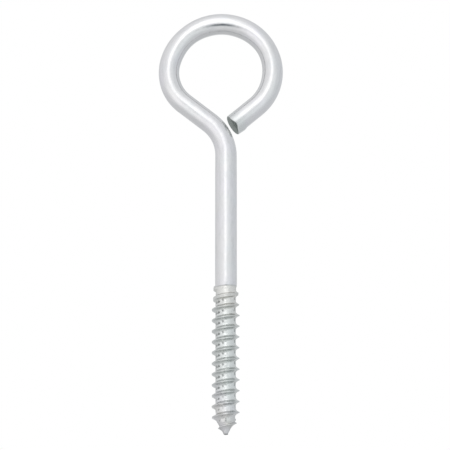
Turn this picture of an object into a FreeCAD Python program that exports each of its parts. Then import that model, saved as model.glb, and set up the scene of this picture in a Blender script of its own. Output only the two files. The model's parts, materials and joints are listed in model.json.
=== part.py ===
"""Lag-thread eye bolt: one length of round steel wire, bent to an open eye and rolled with a wood-screw thread.

Frame, in millimetres: the origin is on the shank's axis where the thread ends and the plain shank begins.
+Z runs up the shank to the eye, and the eye lies in the XZ plane with its opening through along Y.
"""
import FreeCAD, Part
import math
import os

# Wire
wire_diameter = 7.4
shank_length = 45.0  # plain straight shank, from the thread to the start of the neck bend

# Bends of the wire above the shank, in the order that the wire runs
neck_radius, neck_angle = 14.6, 52.4  # turns the wire to the left, away from the shank's axis
throat_length = 10.7  # straight between the neck bend and the eye
eye_bends = (  # centreline radius and angle of each arc of the eye, all turning to the right
    (13.55, 66.2),
    (18.1, 116.9),
    (16.05, 99.9),
)
tail_length = 10.0  # straight from the last arc of the eye to the middle of the cut end

# Sheared face at the end of the wire
cut_lean = 5.0  # degrees: the side away from the eye is the longer one
cut_turn = 10.0  # degrees: the +Y side is longer than the -Y side

# Rolled lag thread, right-handed
threads_per_inch = 7.0
crest_diameter = 9.3
root_diameter = 6.8
flank_angle = 30.0  # degrees between a flank and a plane square to the axis
crest_width = 0.46  # flat along the top of the ridge
step_height = 0.25  # length of the small shoulder between shank and thread root
first_turn_angle = -119.0  # direction from the axis to the ridge where it leaves the shoulder, degrees from +X
ridge_growth = (  # turns below the shoulder, and the share of its full height that the ridge has there
    (0.0, 0.0),
    (0.2, 0.58),
    (1.2, 0.58),
    (1.75, 0.95),
    (2.3, 1.0),
)

# Point
thread_length = 49.8  # from the shoulder to the tip
taper_start = 42.0  # depth below the origin where the core begins to narrow
taper_break, taper_break_radius = 45.6, 2.92  # depth and radius where the steeper cone begins
tip_radius = 0.57
crest_taper_start = 43.6  # depth where the top of the ridge begins to run in to the tip
crest_taper_power = 1.6  # 1 would be a straight cone, and more keeps the ridge tall for longer

wire_radius = wire_diameter / 2
root_radius = root_diameter / 2
crest_radius = crest_diameter / 2
pitch = 25.4 / threads_per_inch

# Where the helical ridge starts and ends inside the solid metal, so that only its working length shows
lead_in_turns = 0.3
start_burial = 0.06  # how far the ridge's top lies under the shank's surface at the shoulder
root_burial = 0.35  # how far the ridge's foot runs below the core's surface
end_burial = 0.12
ridge_end_depth = 49.2
points_per_turn = 24  # of the curves that the ridge's edges follow


def heading_vector(heading):
    """Unit vector in the XZ plane for a heading in degrees, anticlockwise from +X."""
    angle = math.radians(heading)
    return FreeCAD.Vector(math.cos(angle), 0, math.sin(angle))


def straight(start, heading, length):
    """A straight stretch of centreline, and its end point."""
    end = start + heading_vector(heading) * length
    return Part.makeLine(start, end), end


def bend(start, heading, radius, turn):
    """An arc of centreline that turns by a signed angle (positive to the left), its end point and new heading."""
    side = math.copysign(1, turn)
    centre = start + heading_vector(heading + 90 * side) * radius
    outward = heading - 90 * side
    middle = centre + heading_vector(outward + turn / 2) * radius
    end = centre + heading_vector(outward + turn) * radius
    return Part.Arc(start, middle, end).toShape(), end, heading + turn


def wire_above_shank():
    """Neck, throat, eye and tail: a round section swept along the bent centreline, with its end sheared off."""
    edges = []
    point, heading = FreeCAD.Vector(0, 0, shank_length), 90.0
    edge, point, heading = bend(point, heading, neck_radius, neck_angle)
    edges.append(edge)
    edge, point = straight(point, heading, throat_length)
    edges.append(edge)
    for radius, angle in eye_bends:
        edge, point, heading = bend(point, heading, radius, -angle)
        edges.append(edge)
    section = Part.Wire(Part.makeCircle(wire_radius, FreeCAD.Vector(0, 0, shank_length), FreeCAD.Vector(0, 0, 1)))
    return Part.Wire(edges).makePipeShell([section], True, False).fuse(tail(point, heading))


def tail(start, heading):
    """The straight end of the wire, cut off by the sheared face."""
    direction = heading_vector(heading)
    bar = Part.makeCylinder(wire_radius, tail_length + wire_diameter, start, direction)
    return bar.cut(waste_beyond_cut(start + direction * tail_length, heading))


def waste_beyond_cut(cut_point, heading):
    """A block whose one face is the sheared end's plane, and which covers the wire past it."""
    size = 3 * wire_diameter
    block = Part.makeBox(size, size, size, FreeCAD.Vector(0, -size / 2, -size / 2))
    block.rotate(FreeCAD.Vector(), FreeCAD.Vector(0, 0, 1), -cut_turn)
    block.rotate(FreeCAD.Vector(), FreeCAD.Vector(0, 1, 0), -(heading - cut_lean))
    block.translate(cut_point)
    return block


def core_radius(depth):
    """Radius of the thread's core at a depth below the origin, where 0 is the shoulder."""
    if depth <= taper_start:
        return root_radius
    if depth <= taper_break:
        share = (depth - taper_start) / (taper_break - taper_start)
        return root_radius + share * (taper_break_radius - root_radius)
    share = (depth - taper_break) / (thread_length - taper_break)
    return taper_break_radius + share * (tip_radius - taper_break_radius)


def shank_and_core():
    """The straight length as a turned shape: plain shank, shoulder, thread root and two-stage point."""
    outline = [
        (0, shank_length),
        (wire_radius, shank_length),
        (wire_radius, 0),
        (root_radius, -step_height),
        (root_radius, -taper_start),
        (taper_break_radius, -taper_break),
        (tip_radius, -thread_length),
        (0, -thread_length),
        (0, shank_length),
    ]
    face = Part.Face(Part.makePolygon([FreeCAD.Vector(r, 0, z) for r, z in outline]))
    return face.revolve(FreeCAD.Vector(), FreeCAD.Vector(0, 0, 1), 360)


def growth_share(turn):
    """Share of its full height that the ridge has reached after a number of turns below the shoulder."""
    for (start, low), (end, high) in zip(ridge_growth, ridge_growth[1:]):
        if turn < end:
            return low + max(turn - start, 0) / (end - start) * (high - low)
    return 1.0


def ridge_top_radius(turn):
    """Radius of the ridge's top after a number of turns below the shoulder."""
    depth = turn * pitch
    if depth < crest_taper_start:
        shoulder_top = wire_radius - start_burial
        return shoulder_top + growth_share(turn) * (crest_radius - shoulder_top)
    share = (depth - crest_taper_start) / (ridge_end_depth - crest_taper_start)
    end_radius = core_radius(ridge_end_depth) - end_burial
    return crest_radius + share**crest_taper_power * (end_radius - crest_radius)


def ridge_section(turn):
    """The four corners (radius, depth) of the ridge after a number of turns, from its upper foot to its lower foot."""
    depth = turn * pitch
    top = ridge_top_radius(turn)
    spread = math.tan(math.radians(flank_angle))
    half_crest = crest_width / 2
    foot = half_crest + (top - core_radius(depth) + root_burial) * spread
    upper_foot = (core_radius(max(depth - foot, 0)) - root_burial, depth - foot)
    lower_foot_depth = min(depth + foot, thread_length - end_burial)
    lower_foot = (core_radius(lower_foot_depth) - root_burial, lower_foot_depth)
    return [upper_foot, (top, depth - half_crest), (top, depth + half_crest), lower_foot]


def ridge_length(first_turn, last_turn):
    """One length of the helical ridge: ruled faces between four helical edges, with a flat face at each end."""
    turns = [first_turn + (last_turn - first_turn) * i / points_per_turn for i in range(points_per_turn + 1)]
    corner_paths = [[], [], [], []]
    for turn in turns:
        angle = math.radians(first_turn_angle - 360 * turn)
        for path, (radius, depth) in zip(corner_paths, ridge_section(turn)):
            path.append(FreeCAD.Vector(radius * math.cos(angle), radius * math.sin(angle), -depth))

    edges = []
    for path in corner_paths:
        curve = Part.BSplineCurve()
        curve.interpolate(Points=path, Parameters=turns)
        edges.append(curve.toShape())
    faces = [Part.makeRuledSurface(edges[i], edges[(i + 1) % 4]) for i in range(4)]
    for end in (0, -1):
        corners = [path[end] for path in corner_paths]
        faces.append(Part.Face(Part.makePolygon(corners + corners[:1])))
    shell = Part.Shell(faces)
    shell.sewShape()
    ridge = Part.Solid(shell)
    if ridge.Volume < 0:
        ridge.reverse()
    return ridge


def thread_ridge():
    """The whole ridge, in lengths of about a turn that meet end to end."""
    first, last = -lead_in_turns, ridge_end_depth / pitch
    count = round(last - first)
    ends = [first + (last - first) * i / count for i in range(count + 1)]
    return [ridge_length(start, end) for start, end in zip(ends, ends[1:])]


def wire_eye_bolt():
    """The whole bolt, which is one piece of steel."""
    bolt = shank_and_core().multiFuse(thread_ridge()).fuse(wire_above_shank()).removeSplitter()
    solids = bolt.Solids
    assert len(solids) == 1 and bolt.isValid(), "the bolt must be one valid solid"
    return solids[0]


os.makedirs("parts", exist_ok=True)
wire_eye_bolt().exportStep("parts/wire_eye_bolt.step")
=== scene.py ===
"""Visual model of the lag-thread eye bolt: zinc-plated wire, bent to an open eye and rolled with a thread.

The script works in millimetres in the CAD frame, and turns them into metres where an object is made. The
origin is on the shank's axis at the shoulder where the thread ends, +Z runs up to the eye, and the eye lies
in the XZ plane. An angle around the wire is measured from the side that lies to the right of the wire's run,
which is +X on the shank.
"""

import json
import math

import bmesh
import bpy
import numpy as np
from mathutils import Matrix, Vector


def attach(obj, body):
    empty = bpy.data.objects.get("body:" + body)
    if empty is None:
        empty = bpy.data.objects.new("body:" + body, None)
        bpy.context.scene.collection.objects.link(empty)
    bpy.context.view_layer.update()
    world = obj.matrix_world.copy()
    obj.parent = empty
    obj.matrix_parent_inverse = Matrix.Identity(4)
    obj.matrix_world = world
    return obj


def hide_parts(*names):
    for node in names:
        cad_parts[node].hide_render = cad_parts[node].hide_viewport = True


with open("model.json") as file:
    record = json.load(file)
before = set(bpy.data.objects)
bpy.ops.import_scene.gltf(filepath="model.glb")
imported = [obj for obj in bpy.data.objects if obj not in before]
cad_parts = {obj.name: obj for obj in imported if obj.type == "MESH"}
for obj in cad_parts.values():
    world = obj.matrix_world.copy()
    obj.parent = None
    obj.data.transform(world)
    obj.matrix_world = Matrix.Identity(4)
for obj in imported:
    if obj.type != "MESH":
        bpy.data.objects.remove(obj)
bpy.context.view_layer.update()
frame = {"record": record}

MM = 0.001
MOUNTS = {mount["name"]: mount["dims"] for mount in frame["record"]["mounts"]}

# Wire
WIRE_DIAMETER = MOUNTS["eye"]["length_mm"]
SHANK_DIAMETER = WIRE_DIAMETER - 0.02
EYE_WIRE_DIAMETER = WIRE_DIAMETER - 0.14  # the wire is drawn a little thinner where it is bent
SHANK_LENGTH = 45.0
NECK_RADIUS, NECK_ANGLE = 14.6, 52.4  # turns left, away from the shank's axis
THROAT_LENGTH = 10.7
EYE_BENDS = ((13.55, 66.2), (18.1, 116.9), (16.05, 99.9))  # radius and angle of each arc, all turning right
TAIL_LENGTH = 10.0
THINNING_LEAD = 8.0  # how far below the neck bend the wire starts to get thinner
BEND_FLATTENING = 0.018  # share by which a bend's inner and outer sides are pressed in
FLATTENING_RISE = 8.0  # length over which the flattening sets in
PRESSED_PLACES = ((81.0, 5.0, 0.02), (96.0, 6.0, 0.04), (127.0, 7.0, 0.055))  # distance, half length, share
WIRE_WAVINESS, WIRE_WAVE_LENGTH = 0.012, 9.0
WAVE_RISE = 2.0  # length over which the waviness sets in above the thread
WAVE_SAMPLE_RADIUS = 4.0  # of the cylinder in space on which the waviness is read
ROW_SPACING = 0.55

# Sheared end
CUT_LEAN, CUT_TURN = 5.0, 10.0  # degrees: the side away from the eye and the +Y side are the longer ones
CUT_BLEND_LENGTH = 5.0  # over which the rows of the mesh lean into the cut
CUT_RIM_RADIUS = 0.22
CUT_NICKS = ((-62.0, 30.0, 0.26), (-106.0, 24.0, -0.48), (-150.0, 24.0, 0.20))  # angle, half width, stand
NICK_REACH = (0.1, 1.0)  # shares of the radius between which a nick grows to its full size
TEAR_HEIGHT = 0.05  # of the unevenness of the cut face
TEAR_REACH = (0.86, 0.99)  # shares of the radius between which the unevenness fades out
TEAR_STRETCH = (1.0, 0.45, 1.0)  # tears run to the front and back
LONG_TEAR, SHORT_TEAR = 1.6, 0.6
SHORT_TEAR_SHARE = 0.5  # height of the short tears as a share of the long ones'
LIP_HEIGHT, LIP_LENGTH, LIP_RISE = 0.30, 3.1, 0.25  # swollen strip that the shear left on the outer side
LIP_HALF_ANGLE, LIP_FLAT_SHARE = 38.0, 0.35  # its half width, and the share of that with its full height

# Plating along the wire, and the darker inner side of the eye
DULL_LENGTH, DULL_END = 6.0, 1.0  # the plating gets thinner between these distances from the cut
INNER_DARK_RISE = 14.0  # length above the shank over which the darker inner side of the eye sets in
INNER_DARK_SIDE = (0.60, 0.98)  # cosines of the angle from the inner side between which it is darker

# Thread
CREST_RADIUS = MOUNTS["lag_thread"]["r_mm"]
THREAD_LENGTH = MOUNTS["lag_thread"]["length_mm"]
PITCH = 25.4 / 7
ROOT_RADIUS = 3.42
UPPER_FLANK_SPREAD, LOWER_FLANK_SPREAD = 0.84, 0.76  # width of a flank as a share of its height
FLANK_FOOT = 0.05  # added to every flank's width
FLANK_CURVE = 1.8  # 1 would be a straight flank, and more hollows its foot
CREST_HALF_WIDTH, FIRST_CREST_HALF_WIDTH = 0.14, 0.95
CREST_WAVINESS, CREST_WAVE_LENGTH = 0.035, 2.4
THREAD_WAVINESS, THREAD_WAVE_LENGTH = 0.018, 0.9
FIRST_TURN_ANGLE = -119.0  # direction of the ridge where it leaves the shoulder
CREST_GROWTH = ((0.0, 0.0), (0.2, 0.58), (1.2, 0.58), (1.75, 0.95), (2.3, 1.0))  # turns, share of height
RIDGE_LEAD_IN = 0.15  # turns over which the ridge rises out of the shoulder
THREAD_SHIFT = -0.12  # the rolled length sits a little to the left of the shank's axis
SHIFT_LENGTH = 6.0  # over which it moves there
SHOULDER_TOP = 1.7  # height above the origin where the thread's mesh takes over from the wire's
SHOULDER_LENGTH = 0.32
SHANK_END_DROP = 0.06  # the shank is drawn in a little at its end
SHANK_END_START, SHANK_END_STOP = -1.3, 0.2  # depths below the shoulder between which it is drawn in
SHOULDER_WAVE, SHOULDER_WAVE_ANGLE = 0.35, -60.0  # the shoulder is highest at this angle
TAPER_START = 42.0
TAPER_BREAK, TAPER_BREAK_RADIUS = 45.6, 2.92
TIP_RADIUS = 0.57
TIP_BULGE = 0.10
CREST_TAPER_START, CREST_TAPER_POWER = 43.6, 1.6
RIDGE_END_DEPTH = 49.2
SHOULDER_BURIAL, TIP_BURIAL = 0.06, 0.12

# Mesh density
COLUMNS = 96
ROWS_PER_PITCH = 30
ROW_CROWDING = 0.45  # 0 spaces the rows evenly, and more gathers them on the ridge
ROW_SNAP = 0.3  # share of a row's height below which a row joins the top or bottom edge
TURNS_ABOVE = 1.5  # turns of rows above the origin, enough to pass the shoulder's top
TIE_BREAK = 1e-6  # puts the rows midway between two turns of the ridge with the upper turn
CAP_ROWS = 14
RIM_ROWS = 4
TIP_ROWS = 5
WELD_DISTANCE = 0.002
SHARP_ANGLE = 50.0  # degrees between two faces from which the edge between them is drawn sharp

# Marks that the rolling dies left once a turn: angle around, depth below the ridge, half width around, half
# length down, depth of the dent
DIE_MARKS = (
    (-136.0, 1.75, 0.48, 0.46, 0.48),
    (-107.0, 1.35, 0.34, 0.38, 0.24),
    (-157.0, 1.95, 0.44, 0.90, 0.28),
    (-27.0, 1.80, 0.28, 1.35, 0.26),
)
MARKS_RISE = (2.0, 5.0)  # depths between which the marks set in
MARKS_FALL, MARKS_FALL_SHARE = (30.0, 44.0), 0.6  # depths between which they fade, and by what share
DENTS_START = (0.6, 2.0)  # depths between which dents of any kind set in

# Small pits
PIT_COUNT = 260
PIT_FIRST_DEPTH = 2.5
PIT_SIZES, PIT_HOLLOWS = (0.12, 0.30), (0.03, 0.12)
PIT_REACH = 3  # a pit ends at this many times its size from its middle

# Burrs near the point: angle around, depth below the shoulder, half width, height
BURRS = ((-5.0, 44.9, 0.45, 0.45), (-175.0, 47.7, 0.40, 0.25))

# Where the ridge's flanks get painted shade and its top is darkened, as shares of the climb from the root
# to the ridge's top. The left side is given by the cosine of the angle from it.
FLANK_START, FLANK_STOP, CREST_START = (0.35, 0.70), (0.94, 1.0), (0.90, 1.0)
LIT_LEFT, LIT_LEFT_SIDE = 0.4, (0.75, 0.97)  # share of the ridge's darkening that the left side lacks, painted light where light falls from the left

# Dirt and painted shade
FULL_DARK_HOLLOW, HOLLOW_DARK_POWER = 0.20, 1.5  # depth of a fully darkened dent, with dirt and painted shade; over 1 keeps shallow dents lighter
# painted shade in the step of the shoulder, and how far it reaches
SHOULDER_SHADE, SHOULDER_SHADE_REACH = 0.24, 0.3
POINT_GRIME = 0.12
BURR_GRIME, FULL_GRIME_BURR = 0.5, 0.3  # share, and the height of a burr that has it
TIP_DARK_START, TIP_DARK_FULL = 0.4, 0.15  # heights above the tip between which the point is darkened
POINT_MASK_START, POINT_MASK_FULL = -2.0, 1.0  # depths below the point's break

# Masks that the mesh keeps for its material
MASKS = ("darker_inner_side", "dull", "cut", "thread", "flank", "crest", "dirt_and_shade", "point")

# Random shapes
WAVE_COUNT = 14  # sine waves in one irregular surface
WAVE_LENGTH_RANGE = (0.7, 1.5)  # shares of the surface's wavelength
WIRE_SEED, LONG_TEAR_SEED, SHORT_TEAR_SEED, CREST_SEED, THREAD_SEED, PIT_SEED = 3, 11, 12, 21, 22, 5

# Camera and picture
CAMERA_TARGET = (-0.338, 0.0, 21.18)
CAMERA_ELEVATION = -10.0
CAMERA_DISTANCE = 950.0
CAMERA_CLIP = (50.0, 20000.0)
PICTURE_HEIGHT = 152.0  # at the target's distance
SENSOR_WIDTH = 36.0

# Floor and the light on it
FLOOR_HEIGHT = -250.0
FLOOR_RADIUS = 2200.0
FLOOR_SIDES = 96
FLOOR_FADE = (0.15, 0.9)  # shares of the radius between which the floor turns into the backdrop
FLOOR_GREY = 0.86
SOFTBOX_PLACE, SOFTBOX_SIZE = (-500.0, -600.0, 1300.0), 900.0
SOFTBOX_POWER = 9.0  # watts


# ---------------------------------------------------------------- shape

def smooth_step(low, high, value):
    """0 below low, 1 above high, and a smooth rise between."""
    share = np.clip((value - low) / (high - low), 0, 1)
    return share * share * (3 - 2 * share)


def cylinder_points(radius, angles, heights):
    """Points at radii and angles around the Z axis, and at heights along it."""
    return np.stack([radius * np.cos(angles), radius * np.sin(angles), heights], axis=-1)


def waves(points, wavelength, seed):
    """Smooth irregular values of about -1 to 1 at points in space, as a sum of sine waves."""
    rng = np.random.default_rng(seed)
    directions = rng.normal(size=(WAVE_COUNT, 3))
    directions /= np.linalg.norm(directions, axis=1)[:, None]
    lengths = wavelength * rng.uniform(*WAVE_LENGTH_RANGE, WAVE_COUNT)
    phases = rng.uniform(0, 2 * math.pi, WAVE_COUNT)
    swings = points @ (directions / lengths[:, None]).T * 2 * math.pi + phases
    return np.sin(swings).sum(axis=-1) / math.sqrt(WAVE_COUNT)


def arc_stretch(radius, turn):
    """Length, and signed turn in radians, of an arc of the wire whose turn is given in degrees."""
    return radius * math.radians(abs(turn)), math.radians(turn)


def wire_run():
    """Length and signed turn in radians of each stretch of the wire, from the shoulder to the cut end."""
    neck = [(SHANK_LENGTH, 0.0), arc_stretch(NECK_RADIUS, NECK_ANGLE), (THROAT_LENGTH, 0.0)]
    eye = [arc_stretch(radius, -angle) for radius, angle in EYE_BENDS]
    return neck + eye + [(TAIL_LENGTH, 0.0)]


def centreline(stations):
    """Centre points (x, z) and headings at distances along the wire above the shoulder."""
    x = np.zeros_like(stations)
    z = np.zeros_like(stations)
    headings = np.full_like(stations, math.pi / 2)
    start, heading = 0.0, math.pi / 2
    for length, turn in wire_run():
        along = np.clip(stations - start, 0, length)
        if turn:
            radius = length / turn
            x += radius * (np.sin(heading + along / radius) - math.sin(heading))
            z -= radius * (np.cos(heading + along / radius) - math.cos(heading))
        else:
            x += along * math.cos(heading)
            z += along * math.sin(heading)
        headings += turn * along / length
        start += length
        heading += turn
    return x, z, headings


def column_angles():
    """Angles of the mesh's columns, clockwise seen from above, as the ridge runs on its way down."""
    return math.radians(FIRST_TURN_ANGLE) - np.linspace(0, 2 * math.pi, COLUMNS + 1)


def wire_radius(stations, angles, wire_length):
    """Radius of the plain wire, with the flattening, waviness and shear lip of a real one."""
    eye_start = SHANK_LENGTH + NECK_RADIUS * math.radians(NECK_ANGLE) / 2
    thinning = smooth_step(SHANK_LENGTH - THINNING_LEAD, eye_start, stations)
    radius = (SHANK_DIAMETER + thinning * (EYE_WIRE_DIAMETER - SHANK_DIAMETER)) / 2
    flattening = BEND_FLATTENING * smooth_step(SHANK_LENGTH, SHANK_LENGTH + FLATTENING_RISE, stations)
    for place, half_length, share in PRESSED_PLACES:
        flattening = flattening + share * np.exp(-(((stations - place) / half_length) ** 2))
    radius = radius * (1 - flattening * np.cos(2 * angles))

    unevenness = waves(cylinder_points(WAVE_SAMPLE_RADIUS, angles, stations), WIRE_WAVE_LENGTH, WIRE_SEED)
    above_thread = smooth_step(SHOULDER_TOP, SHOULDER_TOP + WAVE_RISE, stations)
    radius = radius + WIRE_WAVINESS * above_thread * unevenness
    return radius + shear_lip(stations, angles, wire_length)


def shear_lip(stations, angles, wire_length):
    """Height of the swollen strip on the outer side of the cut end, steep at first and gone at the rim."""
    lip_start = wire_length - LIP_LENGTH
    rise = smooth_step(lip_start, lip_start + LIP_RISE, stations)
    fall = np.clip((wire_length - stations) / (LIP_LENGTH - LIP_RISE), 0, 1)
    away = np.abs(np.mod(np.degrees(angles), 360) - 180)
    strip = 1 - smooth_step(LIP_HALF_ANGLE * LIP_FLAT_SHARE, LIP_HALF_ANGLE, away)
    return LIP_HEIGHT * rise * fall * strip


def wire_rows(wire_length):
    """Distance along the wire, inset and share of the radius of each row, from the shoulder to the cut."""
    tube_end = wire_length - CUT_RIM_RADIUS
    count = round((tube_end - SHOULDER_TOP) / ROW_SPACING)
    tube = [(station, 0.0, 1.0) for station in np.linspace(SHOULDER_TOP, tube_end, count + 1)]
    rim = []
    for step in range(1, RIM_ROWS + 1):
        swing = math.pi / 2 * step / RIM_ROWS
        inset = CUT_RIM_RADIUS * (1 - math.cos(swing))
        rim.append((tube_end + CUT_RIM_RADIUS * math.sin(swing), inset, 1.0))
    face = [(wire_length, CUT_RIM_RADIUS * share, share) for share in np.linspace(1, 0, CAP_ROWS + 1)[1:]]
    return np.array(tube + rim + face)


def cut_offset(radius, angles, shares):
    """How far the sheared end's plane and its nicks stand out along the wire."""
    offset = radius * np.sin(angles) * math.tan(math.radians(CUT_TURN))
    offset -= radius * np.cos(angles) * math.tan(math.radians(CUT_LEAN))
    for angle, half_width, stand in CUT_NICKS:
        away = np.mod(np.degrees(angles) - angle + 180, 360) - 180
        offset += stand * np.exp(-((away / half_width) ** 2)) * smooth_step(*NICK_REACH, shares)
    return offset


def cut_tears(radius, angles, shares):
    """Unevenness of the cut face, which leaves its rim alone."""
    flat = cylinder_points(radius, angles, 0 * radius)
    tears = waves(flat * TEAR_STRETCH, LONG_TEAR, LONG_TEAR_SEED)
    tears = tears + SHORT_TEAR_SHARE * waves(flat, SHORT_TEAR, SHORT_TEAR_SEED)
    return TEAR_HEIGHT * (1 - smooth_step(*TEAR_REACH, shares)) * tears


def wire_surface():
    """The plain wire from the shoulder to the middle of its sheared end.

    Returns a grid of its points, the same grid with the wire unbent, and the masks on it.
    """
    wire_length = sum(length for length, turn in wire_run())
    rows = wire_rows(wire_length)
    stations, insets, shares = (rows[:, i, None] for i in range(3))
    angles = np.broadcast_to(column_angles(), (len(rows), COLUMNS + 1))
    stations = np.broadcast_to(stations, angles.shape)
    radius = wire_radius(stations, angles, wire_length) * shares - insets
    lean = smooth_step(wire_length - CUT_BLEND_LENGTH, wire_length, stations)
    offset = lean * cut_offset(radius, angles, shares) + cut_tears(radius, angles, shares)

    x, z, headings = centreline(stations)
    sideways = radius * np.cos(angles)
    points = np.stack(
        [
            x + sideways * np.sin(headings) + offset * np.cos(headings),
            radius * np.sin(angles),
            z - sideways * np.cos(headings) + offset * np.sin(headings),
        ],
        axis=-1,
    )
    unbent = cylinder_points(radius, angles, stations + offset)

    masks = empty_masks(angles.shape)
    inner_side = smooth_step(*INNER_DARK_SIDE, np.cos(angles))
    masks["darker_inner_side"] = smooth_step(SHANK_LENGTH, SHANK_LENGTH + INNER_DARK_RISE, stations) * inner_side
    masks["dull"] = smooth_step(wire_length - DULL_LENGTH, wire_length - DULL_END, stations)
    masks["cut"] = np.broadcast_to(smooth_step(0.0, CUT_RIM_RADIUS, insets + (1 - shares)), angles.shape)
    return points, unbent, masks


def empty_masks(shape):
    """All masks with nothing on them."""
    return {name: np.zeros(shape) for name in MASKS}


def below_shoulder(depth, angle):
    """Depth below the wavy line where the shoulder starts."""
    return depth + SHOULDER_WAVE * np.cos(angle - math.radians(SHOULDER_WAVE_ANGLE))


def core_radius(depth, angle=0.0):
    """Radius of the thread's core, with the wavy shoulder at its top and the two-stage point at its end."""
    level = below_shoulder(depth, angle)
    radius = SHANK_DIAMETER / 2 - SHANK_END_DROP * smooth_step(SHANK_END_START, SHANK_END_STOP, level)
    step = SHANK_DIAMETER / 2 - SHANK_END_DROP - ROOT_RADIUS
    radius = radius - smooth_step(0, SHOULDER_LENGTH, level) * step
    first = np.clip((depth - TAPER_START) / (TAPER_BREAK - TAPER_START), 0, 1)
    second = np.clip((depth - TAPER_BREAK) / (THREAD_LENGTH - TAPER_BREAK), 0, 1)
    return radius + first * (TAPER_BREAK_RADIUS - ROOT_RADIUS) + second * (TIP_RADIUS - TAPER_BREAK_RADIUS)


def crest_growth(turn):
    """Share of its full height that the ridge has reached after a number of turns below the shoulder."""
    turns, shares = zip(*CREST_GROWTH)
    return np.interp(turn, turns, shares)


def ridge_top_radius(turn):
    """Radius of the ridge's top after a number of turns below the shoulder."""
    depth = turn * PITCH
    shoulder_top = WIRE_DIAMETER / 2 - SHOULDER_BURIAL
    top = shoulder_top + crest_growth(turn) * (CREST_RADIUS - shoulder_top)
    share = np.clip((depth - CREST_TAPER_START) / (RIDGE_END_DEPTH - CREST_TAPER_START), 0, 1)
    end_radius = core_radius(RIDGE_END_DEPTH) - TIP_BURIAL
    return top + share**CREST_TAPER_POWER * (end_radius - top)


def thread_depths():
    """Depths below the shoulder of a grid whose rows climb with the ridge."""
    first_row = -round(TURNS_ABOVE * ROWS_PER_PITCH)
    last_row = round((THREAD_LENGTH / PITCH + 1) * ROWS_PER_PITCH)
    rows = np.arange(first_row, last_row + 1)[:, None] / ROWS_PER_PITCH
    rows = rows - ROW_CROWDING * np.sin(2 * math.pi * rows) / (2 * math.pi)
    depths = PITCH * (rows + np.linspace(0, 1, COLUMNS + 1))
    snap = ROW_SNAP * PITCH / ROWS_PER_PITCH
    depths = np.where(depths < snap - SHOULDER_TOP, -SHOULDER_TOP, depths)
    return np.where(depths > THREAD_LENGTH - snap, THREAD_LENGTH, depths)


def around(angles, angle):
    """Distance around the core, from an angle in degrees."""
    return (np.mod(angles - math.radians(angle) + math.pi, 2 * math.pi) - math.pi) * ROOT_RADIUS


def die_marks(angles, depths, below_ridge):
    """Depth of the marks that the rolling dies left once a turn."""
    fade = smooth_step(*MARKS_RISE, depths) * (1 - smooth_step(*MARKS_FALL, depths) * MARKS_FALL_SHARE)
    hollow = np.zeros(angles.shape)
    for angle, drop, half_width, half_length, deep in DIE_MARKS:
        swing = around(angles, angle) / half_width
        hollow += fade * deep * np.exp(-(swing**2 + ((below_ridge - drop) / half_length) ** 2))
    return hollow


def pits(angles, depths):
    """Depth of small pits, scattered at random."""
    rng = np.random.default_rng(PIT_SEED)
    hollow = np.zeros(angles.shape)
    for _ in range(PIT_COUNT):
        angle = rng.uniform(0, 360)
        depth = rng.uniform(PIT_FIRST_DEPTH, TAPER_BREAK)
        size = rng.uniform(*PIT_SIZES)
        deep = rng.uniform(*PIT_HOLLOWS)
        swing = around(angles, angle)
        near = (np.abs(swing) < PIT_REACH * size) & (np.abs(depths - depth) < PIT_REACH * size)
        hollow[near] += deep * np.exp(-((swing[near] / size) ** 2 + ((depths[near] - depth) / size) ** 2))
    return hollow


def burrs(angles, depths):
    """Height of the torn metal that stands out near the point."""
    height = np.zeros(angles.shape)
    for angle, depth, size, tall in BURRS:
        height += tall * np.exp(-((around(angles, angle) / size) ** 2 + ((depths - depth) / size) ** 2))
    return height


def ridge_shape(turns, below_ridge, core, places):
    """Height of the ridge's top above the core, and each point's share of the climb to it."""
    top = ridge_top_radius(turns) + CREST_WAVINESS * waves(places, CREST_WAVE_LENGTH, CREST_SEED)
    height = np.maximum(top - core, 0) * smooth_step(0, RIDGE_LEAD_IN, turns)
    half_crest = FIRST_CREST_HALF_WIDTH + crest_growth(turns) * (CREST_HALF_WIDTH - FIRST_CREST_HALF_WIDTH)
    spread = np.where(below_ridge > 0, LOWER_FLANK_SPREAD, UPPER_FLANK_SPREAD)
    climbed = 1 - np.clip((np.abs(below_ridge) - half_crest) / (height * spread + FLANK_FOOT), 0, 1)
    return height, climbed


def thread_dirt_and_shade(depths, level, hollow, torn):
    """Share of darkening: dirt and painted shade in the dents, painted shade along the shoulder, dirt on the
    point and its burrs, and a darker tip.
    """
    layers = (
        np.clip(hollow / FULL_DARK_HOLLOW, 0, 1) ** HOLLOW_DARK_POWER,
        SHOULDER_SHADE * np.exp(-(((level - SHOULDER_LENGTH / 2) / SHOULDER_SHADE_REACH) ** 2)),
        POINT_GRIME * smooth_step(TAPER_START, TAPER_BREAK, depths),
        BURR_GRIME * np.clip(torn / FULL_GRIME_BURR, 0, 1),
        smooth_step(THREAD_LENGTH - TIP_DARK_START, THREAD_LENGTH - TIP_DARK_FULL, depths),
    )
    return np.max(layers, axis=0)


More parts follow.
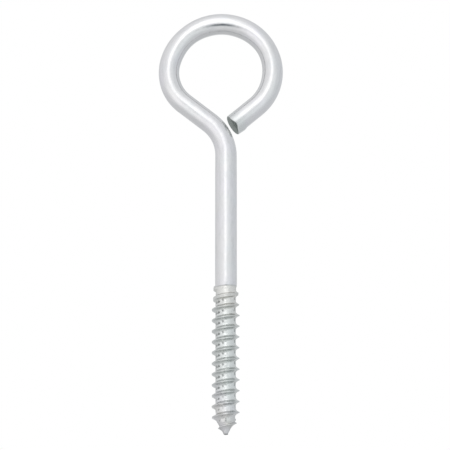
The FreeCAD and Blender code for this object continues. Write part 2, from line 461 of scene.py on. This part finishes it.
def thread_surface():
    """Grid of points of the shoulder, core, ridge and tip, and the masks on it."""
    depths = thread_depths()
    angles = np.broadcast_to(column_angles(), depths.shape)
    climb = np.linspace(0, 1, COLUMNS + 1)
    turns = np.round(depths / PITCH - climb - TIE_BREAK) + climb
    below_ridge = depths - turns * PITCH
    level = below_shoulder(depths, angles)
    places = cylinder_points(ROOT_RADIUS, angles, -depths)
    core = core_radius(depths, angles)
    height, climbed = ridge_shape(turns, below_ridge, core, places)
    hollow = die_marks(angles, depths, below_ridge) + pits(angles, depths)
    torn = burrs(angles, depths)
    rolled = smooth_step(0.0, SHOULDER_LENGTH, level)
    radius = core + height * climbed**FLANK_CURVE
    radius = radius - hollow * smooth_step(*DENTS_START, depths) + torn
    radius = radius + rolled * THREAD_WAVINESS * waves(places, THREAD_WAVE_LENGTH, THREAD_SEED)

    masks = empty_masks(angles.shape)
    # painted shade on the ridge's flanks and a darker ridge top, both less on the left side, where light
    # falls
    ridge_darkening = np.clip(height, 0, 1) * (1 - LIT_LEFT * smooth_step(*LIT_LEFT_SIDE, -np.cos(angles)))
    masks["thread"] = rolled
    masks["flank"] = smooth_step(*FLANK_START, climbed) * (1 - smooth_step(*FLANK_STOP, climbed)) * ridge_darkening
    masks["crest"] = smooth_step(*CREST_START, climbed) * ridge_darkening
    masks["dirt_and_shade"] = thread_dirt_and_shade(depths, level, hollow, torn)
    # the point's mask carries painted shade on its sides seen edge-on
    masks["point"] = smooth_step(TAPER_BREAK + POINT_MASK_START, TAPER_BREAK + POINT_MASK_FULL, depths)

    points = cylinder_points(radius, angles, -depths)
    points[..., 0] += THREAD_SHIFT * smooth_step(0.0, SHIFT_LENGTH, depths)
    return close_tip(points, masks)


def close_tip(points, masks):
    """The grid and masks with rows added that close the small blunt end of the point."""
    shares = np.linspace(1, 0, TIP_ROWS + 1)[1:, None, None]
    middle = points[-1].mean(axis=0)
    closing = middle + (points[-1] - middle) * shares
    closing[..., 2] -= TIP_BULGE * (1 - shares[..., 0] ** 2)
    closed_masks = {}
    for name, grid in masks.items():
        closed_masks[name] = np.concatenate([grid, np.repeat(grid[-1:], TIP_ROWS, axis=0)])
    # the blunt end of the point is darkened in full
    closed_masks["dirt_and_shade"][-TIP_ROWS:] = 1
    return np.concatenate([points, closing]), closed_masks


def grid_faces(rows, columns, first):
    """Corner indices of the faces of a grid of points, seen from outside."""
    index = first + np.arange(rows * columns).reshape(rows, columns)
    corners = np.stack([index[:-1, :-1], index[:-1, 1:], index[1:, 1:], index[1:, :-1]], axis=-1)
    return corners.reshape(-1, 4)


def store(mesh, name, kind, field, grids):
    """Values of the wire's and the thread's grids, kept on the mesh's points under a name."""
    values = np.concatenate([grid.ravel() for grid in grids])
    mesh.attributes.new(name, kind, "POINT").data.foreach_set(field, values)


def bolt_mesh():
    """The whole surface as one closed mesh, with the masks and the unbent places that its material reads."""
    wire_points, wire_unbent, wire_masks = wire_surface()
    thread_points, thread_masks = thread_surface()
    points = np.concatenate([wire_points.reshape(-1, 3), thread_points.reshape(-1, 3)])
    up = grid_faces(*wire_points.shape[:2], 0)[:, ::-1]
    down = grid_faces(*thread_points.shape[:2], wire_points.size // 3)
    mesh = bpy.data.meshes.new("zinc_plated_eye_bolt")
    mesh.from_pydata(points * MM, [], np.concatenate([up, down]).tolist())
    store(mesh, "unbent", "FLOAT_VECTOR", "vector", (wire_unbent, thread_points))
    for name in MASKS:
        store(mesh, name, "FLOAT", "value", (wire_masks[name], thread_masks[name]))
    return weld(mesh)


def weld(mesh):
    """The mesh with the points that meet joined, and the faces that this leaves empty removed."""
    work = bmesh.new()
    work.from_mesh(mesh)
    bmesh.ops.remove_doubles(work, verts=work.verts, dist=WELD_DISTANCE * MM)
    bmesh.ops.recalc_face_normals(work, faces=work.faces)
    work.to_mesh(mesh)
    work.free()
    mesh.shade_smooth()
    mesh.set_sharp_from_angle(angle=math.radians(SHARP_ANGLE))
    return mesh


# ---------------------------------------------------------------- material

class Tree:
    """Short-hand for building a shader's nodes."""

    def __init__(self, node_tree):
        self.tree = node_tree
        self.tree.nodes.clear()

    def node(self, kind, inputs=(), **settings):
        """A new node, its settings, and its inputs as (socket, value or output) pairs."""
        made = self.tree.nodes.new(kind)
        for name, value in settings.items():
            setattr(made, name, value)
        for socket, value in inputs:
            if isinstance(value, bpy.types.NodeSocket):
                self.tree.links.new(value, made.inputs[socket])
            else:
                made.inputs[socket].default_value = value
        return made

    def maths(self, operation, *values):
        """A sum, product or other result of numbers."""
        return self.node("ShaderNodeMath", list(enumerate(values)), operation=operation).outputs[0]

    def vector(self, operation, *values):
        """A result of vectors, which is a number for a dot product."""
        made = self.node("ShaderNodeVectorMath", list(enumerate(values)), operation=operation)
        return made.outputs["Value"] if operation == "DOT_PRODUCT" else made.outputs["Vector"]

    def attribute(self, name, output="Fac"):
        """What the mesh keeps on its points under a name."""
        return self.node("ShaderNodeAttribute", attribute_name=name).outputs[output]

    def turned_away(self):
        """0 where the surface faces the viewer, and 1 where it is seen edge-on."""
        return self.node("ShaderNodeLayerWeight", [("Blend", 0.5)]).outputs["Facing"]

    def noise(self, place, scale, detail, roughness):
        """Smooth random values around 0.5."""
        inputs = [("Vector", place), ("Scale", scale), ("Detail", detail), ("Roughness", roughness)]
        return self.node("ShaderNodeTexNoise", inputs).outputs["Fac"]

    def spread(self, value, low, high, to_low=0.0, to_high=1.0):
        """A value's range from low to high stretched to another range, and clamped."""
        inputs = list(enumerate([value, low, high, to_low, to_high]))
        return self.node("ShaderNodeMapRange", inputs).outputs[0]

    def mix(self, share, first, second):
        """Two colours mixed by a share, where sockets 0, 6 and 7 are the node's factor and colours."""
        inputs = [(0, share), (6, first), (7, second)]
        return self.node("ShaderNodeMix", inputs, data_type="RGBA").outputs[2]

    def ramp(self, value, stops):
        """The colour of a value on a ramp of (position, colour) stops."""
        made = self.node("ShaderNodeValToRGB", [("Fac", value)])
        elements = made.color_ramp.elements
        elements[0].position, elements[0].color = stops[0]
        elements[1].position, elements[1].color = stops[-1]
        for position, shade in stops[1:-1]:
            elements.new(position).color = shade
        return made.outputs["Color"]


def colour(red, green, blue):
    """An opaque colour."""
    return (red, green, blue, 1.0)


def grey(value):
    """A colour with the same value three times."""
    return colour(value, value, value)


ZINC = colour(0.805, 0.797, 0.80)
ZINC_COOL = colour(0.77, 0.787, 0.80)
ZINC_LILAC = colour(0.80, 0.785, 0.818)
DARKER_ZINC = colour(0.69, 0.69, 0.695)
THIN_ZINC = colour(0.71, 0.735, 0.72)
# dark grime, also used for painted shade on the thread
RESIDUE_AND_SHADE = colour(0.25, 0.26, 0.255)
# bare steel of the sheared face: painted light where it faces the viewer, painted shade where it is seen
# edge-on
SHEARED_STEEL, SHEARED_STEEL_PAINTED_SHADE = colour(0.86, 0.88, 0.87), colour(0.29, 0.325, 0.305)
THREAD_TINTS = (  # of the passivated zinc, from the shoulder at 0 to the tip at 1
    (0.00, colour(0.805, 0.79, 0.755)),
    (0.12, colour(0.80, 0.80, 0.77)),
    (0.24, colour(0.79, 0.81, 0.795)),
    (0.70, colour(0.785, 0.81, 0.795)),
    (0.80, colour(0.79, 0.795, 0.805)),
    (0.90, colour(0.80, 0.79, 0.765)),
    (0.98, colour(0.83, 0.82, 0.835)),
)
TINT_RISE = (-0.02, 0.0, -0.02)  # share of the tints' range per millimetre, to the left and down
TINT_WANDER = 0.2

# Noises: features per millimetre, detail and roughness
DRIFT_NOISE = (0.10, 3.0, 0.5)
PATCH_NOISE = (0.22, 3.0, 0.6)
STREAK_NOISE = (1.1, 2.0, 0.5)
SPECKLE_NOISE = (0.9, 3.0, 0.6)
GRIME_AND_SHADE_NOISE = (1.1, 4.0, 0.65)
CLOUD_NOISE = (0.35, 4.0, 0.6)
LINE_NOISE = (2.6, 3.0, 0.6)
GRAIN_NOISE = (6.0, 3.0, 0.6)
SWELL_NOISE = (0.5, 2.0, 0.5)
COARSE_NOISE = (1.6, 4.0, 0.6)
PATCH_OFFSET = (40.0, 7.0, 13.0)  # keeps the patches from following the drift

# Scales of space that draw a noise out along the wire
STREAK_STRETCH, SPECKLE_STRETCH, LINE_STRETCH = (1.0, 1.0, 0.05), (1.0, 1.0, 0.35), (1.0, 1.0, 0.03)

# Where a look sets in: two values of its noise, or of how far the surface is turned away, and the share of
# the look at each
LILAC_SPREAD = (0.45, 0.70, 0.0, 1.0)
COOL_SPREAD = (0.52, 0.72, 0.0, 0.7)
STREAK_SPREAD = (0.58, 0.75, 0.0, 0.45)
INNER_DARK_SPREAD = (0.3, 0.6, 0.5, 1.0)
SPECKLE_SPREAD = (0.45, 0.75, 0.0, 0.55)
THREAD_GRIME_SPREAD = (0.58, 0.78, 0.0, 0.5)
# painted shade on the ridge's flanks, and a darker ridge top
FLANK_SHADE_SPREAD = (0.35, 0.65, 0.10, 0.45)
CREST_DARKENING_SPREAD = (0.35, 0.65, 0.15, 0.40)
# painted shade on the sides of the thread and the point that are seen edge-on
THREAD_EDGE_SHADE_SPREAD = (0.45, 0.85, 0.0, 0.38)
POINT_EDGE_SHADE_SPREAD = (0.20, 0.60, 0.0, 0.45)
SHEARED_SHADE_SPREAD = (0.30, 0.52, 0.0, 1.0)

# Shares of the masked looks at their fullest
THIN_ZINC_SHARE, TINT_SHARE, DIRT_AND_SHADE_SHARE = 0.7, 0.9, 0.95

# Roughness: two values of its noise, and the roughness at each
WIRE_ROUGHNESS, THREAD_ROUGHNESS = (0.3, 0.7, 0.12, 0.18), (0.3, 0.7, 0.18, 0.28)
DULL_ROUGHNESS, SHEARED_ROUGHNESS = 0.30, 0.42

# Heights of the bumps, in steps of BUMP_STEP millimetres
BUMP_STEP = 0.012
LINE_BUMP, GRAIN_BUMP, SWELL_BUMP, THREAD_BUMP, CUT_BUMP = 0.55, 0.25, 3.8, 4.0, 5.0


def wire_colour(tree, place, masks, patches):
    """Bright zinc with drifting tints, drawing streaks, a darker inner side of the eye, speckle, and a
    thin coat by the cut.
    """
    drift = tree.noise(place, *DRIFT_NOISE)
    base = tree.mix(tree.spread(drift, *LILAC_SPREAD), ZINC, ZINC_LILAC)
    base = tree.mix(tree.spread(patches, *COOL_SPREAD), base, ZINC_COOL)
    streaks = tree.noise(tree.vector("MULTIPLY", place, STREAK_STRETCH), *STREAK_NOISE)
    base = tree.mix(tree.spread(streaks, *STREAK_SPREAD), base, DARKER_ZINC)
    # the inner side of the eye is made darker in streaks
    inner_dark = tree.maths("MULTIPLY", masks["darker_inner_side"], tree.spread(streaks, *INNER_DARK_SPREAD))
    base = tree.mix(inner_dark, base, DARKER_ZINC)
    base = tree.mix(tree.maths("MULTIPLY", masks["dull"], THIN_ZINC_SHARE), base, THIN_ZINC)
    speckle = tree.noise(tree.vector("MULTIPLY", place, SPECKLE_STRETCH), *SPECKLE_NOISE)
    return tree.mix(tree.spread(speckle, *SPECKLE_SPREAD), base, DARKER_ZINC)


def thread_tint(tree, place, patches):
    """Colour of the thread's plating, which changes along its length in wandering bands."""
    along = tree.maths("SUBTRACT", tree.vector("DOT_PRODUCT", place, TINT_RISE), TINT_WANDER / 2)
    return tree.ramp(tree.maths("MULTIPLY_ADD", patches, TINT_WANDER, along), THREAD_TINTS)


def residue_and_shade_share(tree, place, masks, sideways):
    """How dark the thread is: grime in patches, a darker ridge top, dirt, and painted shade on the flanks,
    in dents, along the shoulder and on turned-away sides.
    """
    grime_and_shade = tree.noise(place, *GRIME_AND_SHADE_NOISE)
    layers = [
        tree.maths("MULTIPLY", masks["thread"], tree.spread(grime_and_shade, *THREAD_GRIME_SPREAD)),
        tree.maths("MULTIPLY", masks["flank"], tree.spread(grime_and_shade, *FLANK_SHADE_SPREAD)),
        tree.maths("MULTIPLY", masks["crest"], tree.spread(grime_and_shade, *CREST_DARKENING_SPREAD)),
        tree.maths("MULTIPLY", masks["dirt_and_shade"], DIRT_AND_SHADE_SHARE),
        tree.maths("MULTIPLY", masks["thread"], tree.spread(sideways, *THREAD_EDGE_SHADE_SPREAD)),
        tree.maths("MULTIPLY", masks["point"], tree.spread(sideways, *POINT_EDGE_SHADE_SPREAD)),
    ]
    share = layers[0]
    for layer in layers[1:]:
        share = tree.maths("MAXIMUM", share, layer)
    return share


def zinc_colour(tree, place, masks):
    """The plated wire, the tinted and grimy thread with painted shade, and the sheared face's bare steel,
    painted light face-on and painted shade edge-on.
    """
    patches = tree.noise(tree.vector("ADD", place, PATCH_OFFSET), *PATCH_NOISE)
    sideways = tree.turned_away()
    base = wire_colour(tree, place, masks, patches)
    tint_share = tree.maths("MULTIPLY", masks["thread"], TINT_SHARE)
    base = tree.mix(tint_share, base, thread_tint(tree, place, patches))
    base = tree.mix(residue_and_shade_share(tree, place, masks, sideways), base, RESIDUE_AND_SHADE)
    # the sheared face is painted light face-on and painted shade where it is seen edge-on
    sheared = tree.mix(tree.spread(sideways, *SHEARED_SHADE_SPREAD), SHEARED_STEEL, SHEARED_STEEL_PAINTED_SHADE)
    return tree.mix(masks["cut"], base, sheared)


def zinc_roughness(tree, place, masks):
    """Satin wire, and a duller thread and sheared end."""
    clouds = tree.noise(place, *CLOUD_NOISE)
    wire = tree.spread(clouds, *WIRE_ROUGHNESS)
    thread = tree.spread(clouds, *THREAD_ROUGHNESS)
    value = tree.mix(masks["thread"], wire, thread)
    value = tree.mix(masks["dull"], value, grey(DULL_ROUGHNESS))
    return tree.mix(masks["cut"], value, grey(SHEARED_ROUGHNESS))


def zinc_bump(tree, place, masks):
    """Fine grain, the long lines of wire drawing, broad swells, and a coarser thread and sheared end."""
    lines = tree.noise(tree.vector("MULTIPLY", place, LINE_STRETCH), *LINE_NOISE)
    height = tree.maths("MULTIPLY", lines, LINE_BUMP)
    height = tree.maths("MULTIPLY_ADD", tree.noise(place, *GRAIN_NOISE), GRAIN_BUMP, height)
    height = tree.maths("MULTIPLY_ADD", tree.noise(place, *SWELL_NOISE), SWELL_BUMP, height)
    coarseness = tree.maths("MULTIPLY", masks["cut"], CUT_BUMP)
    coarseness = tree.maths("MULTIPLY_ADD", masks["thread"], THREAD_BUMP, coarseness)
    height = tree.maths("MULTIPLY_ADD", tree.noise(place, *COARSE_NOISE), coarseness, height)
    inputs = [("Height", height), ("Strength", 1.0), ("Distance", BUMP_STEP * MM)]
    return tree.node("ShaderNodeBump", inputs).outputs["Normal"]


def zinc_material():
    """Bright zinc plating, darker, grimy and painted with light and shade where the masks say so."""
    material = bpy.data.materials.new("zinc_plated_steel")
    material.use_nodes = True
    tree = Tree(material.node_tree)
    place = tree.attribute("unbent", "Vector")
    masks = {name: tree.attribute(name) for name in MASKS}
    inputs = [
        ("Base Color", zinc_colour(tree, place, masks)),
        ("Metallic", 1.0),
        ("Roughness", zinc_roughness(tree, place, masks)),
        ("Normal", zinc_bump(tree, place, masks)),
    ]
    surface = tree.node("ShaderNodeBsdfPrincipled", inputs)
    tree.node("ShaderNodeOutputMaterial", [("Surface", surface.outputs["BSDF"])])
    return material


# ---------------------------------------------------------------- studio

WHITE = grey(1.0)
DOME_LOW, DOME_HIGH = colour(0.62, 0.63, 0.64), colour(0.685, 0.695, 0.71)  # straight below and above

# Soft lights of the studio dome: azimuth from the camera's side (positive to the right), elevation,
# tightness and brightness. A negative brightness is a dark thing, such as the camera.
DOME_LIGHTS = (
    (-6.0, 14.0, 34.0, (0.32, 0.32, 0.315)),  # strip light, in three heights
    (-4.0, 32.0, 26.0, (0.36, 0.36, 0.355)),
    (-6.0, 50.0, 20.0, (0.23, 0.23, 0.23)),
    (-3.0, 31.0, 5.0, (0.28, 0.28, 0.28)),  # its glow
    (0.0, 85.0, 5.0, (0.10, 0.10, 0.10)),  # ceiling
    (-38.0, -18.0, 11.0, (0.34, 0.335, 0.33)),  # reflector on the left
    (-75.0, 20.0, 2.3, (0.17, 0.17, 0.17)),  # wall on the left
    (-17.0, -11.0, 45.0, (0.12, 0.12, 0.12)),  # card beside the camera
    (29.0, -15.0, 8.0, (0.19, 0.215, 0.21)),  # reflector on the right
    (0.0, -55.0, 24.0, (0.12, 0.12, 0.12)),  # table in front
    (85.0, 0.0, 2.0, (0.035, 0.055, 0.065)),  # cooler wall on the right
    (180.0, -12.0, 22.0, (0.22, 0.22, 0.215)),  # second strip light, behind the object
    (180.0, 14.0, 20.0, (0.22, 0.22, 0.215)),
    (-0.5, -14.0, 64.0, (-0.48, -0.48, -0.475)),  # camera and its stand
    (-0.5, -22.0, 64.0, (-0.48, -0.48, -0.475)),
)


def studio_direction(azimuth, elevation):
    """Unit vector for an azimuth from the camera's side and an elevation, both in degrees."""
    azimuth, elevation = math.radians(azimuth), math.radians(elevation)
    level = math.cos(elevation)
    return (math.sin(azimuth) * level, -math.cos(azimuth) * level, math.sin(elevation))


def studio_dome():
    """White backdrop to the camera, and to everything else a dome of soft lights."""
    world = bpy.data.worlds.new("studio")
    bpy.context.scene.world = world
    world.use_nodes = True
    tree = Tree(world.node_tree)
    direction = tree.node("ShaderNodeTexCoord").outputs["Generated"]
    height = tree.vector("DOT_PRODUCT", direction, (0.0, 0.0, 1.0))
    total = tree.mix(tree.spread(height, -1.0, 1.0), DOME_LOW, DOME_HIGH)
    for azimuth, elevation, tightness, light in DOME_LIGHTS:
        toward = tree.vector("DOT_PRODUCT", direction, studio_direction(azimuth, elevation))
        glow = tree.maths("EXPONENT", tree.maths("MULTIPLY_ADD", toward, tightness, -tightness))
        scaled = tree.node("ShaderNodeVectorMath", [(0, light), ("Scale", glow)], operation="SCALE")
        total = tree.vector("ADD", total, scaled.outputs[0])
    seen = tree.node("ShaderNodeLightPath").outputs["Is Camera Ray"]
    backdrop = tree.mix(seen, total, WHITE)
    background = tree.node("ShaderNodeBackground", [("Color", backdrop), ("Strength", 1.0)])
    tree.node("ShaderNodeOutputWorld", [("Surface", background.outputs[0])])


def link(name, data):
    """A new object in the scene."""
    made = bpy.data.objects.new(name, data)
    bpy.context.scene.collection.objects.link(made)
    return made


def floor_material():
    """Pale floor that turns into the white backdrop away from the object."""
    material = bpy.data.materials.new("floor")
    material.use_nodes = True
    tree = Tree(material.node_tree)
    place = tree.node("ShaderNodeTexCoord").outputs["Object"]
    distance = tree.node("ShaderNodeVectorMath", [(0, place)], operation="LENGTH").outputs["Value"]
    edge = tree.spread(distance, *(share * FLOOR_RADIUS * MM for share in FLOOR_FADE))
    diffuse = tree.node("ShaderNodeBsdfDiffuse", [("Color", grey(FLOOR_GREY))])
    white = tree.node("ShaderNodeEmission", [("Color", WHITE), ("Strength", 1.0)])
    shown = tree.node("ShaderNodeMixShader", [(0, edge), (1, diffuse.outputs[0]), (2, white.outputs[0])])
    tree.node("ShaderNodeOutputMaterial", [("Surface", shown.outputs[0])])
    return material


def floor():
    """A large flat disc far below the object, which never shows in its reflections."""
    turns = np.linspace(0, 2 * math.pi, FLOOR_SIDES, endpoint=False)
    rim = cylinder_points(FLOOR_RADIUS * MM, turns, 0 * turns).tolist()
    mesh = bpy.data.meshes.new("floor")
    mesh.from_pydata(rim, [], [list(range(len(rim)))])
    disc = link("floor", mesh)
    disc.location = (0.0, 0.0, FLOOR_HEIGHT * MM)
    disc.visible_glossy = False
    mesh.materials.append(floor_material())


def floor_light():
    """A large soft light that only lights the floor, so that the object throws a faint shadow."""
    data = bpy.data.lights.new("softbox", "AREA")
    data.shape = "DISK"
    data.size = SOFTBOX_SIZE * MM
    data.energy = SOFTBOX_POWER
    softbox = link("softbox", data)
    softbox.location = Vector(SOFTBOX_PLACE) * MM
    softbox.rotation_euler = (-softbox.location).to_track_quat("-Z", "Y").to_euler()
    softbox.visible_glossy = False


def camera():
    """Camera in front of the bolt, a little below it, looking slightly up."""
    data = bpy.data.cameras.new("camera")
    data.sensor_width = SENSOR_WIDTH
    data.lens = SENSOR_WIDTH * CAMERA_DISTANCE / PICTURE_HEIGHT
    data.clip_start, data.clip_end = (limit * MM for limit in CAMERA_CLIP)
    taken_from = link("camera", data)
    away = Vector(studio_direction(0.0, CAMERA_ELEVATION)) * CAMERA_DISTANCE
    taken_from.location = (Vector(CAMERA_TARGET) + away) * MM
    taken_from.rotation_euler = (math.radians(90 - CAMERA_ELEVATION), 0.0, 0.0)
    bpy.context.scene.camera = taken_from


bolt = link("zinc_plated_eye_bolt", bolt_mesh())
bolt.data.materials.append(zinc_material())
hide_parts("wire_eye_bolt")
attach(bolt, "root")

studio_dome()
floor()
floor_light()
camera()
bpy.context.scene.view_settings.view_transform = "Standard"
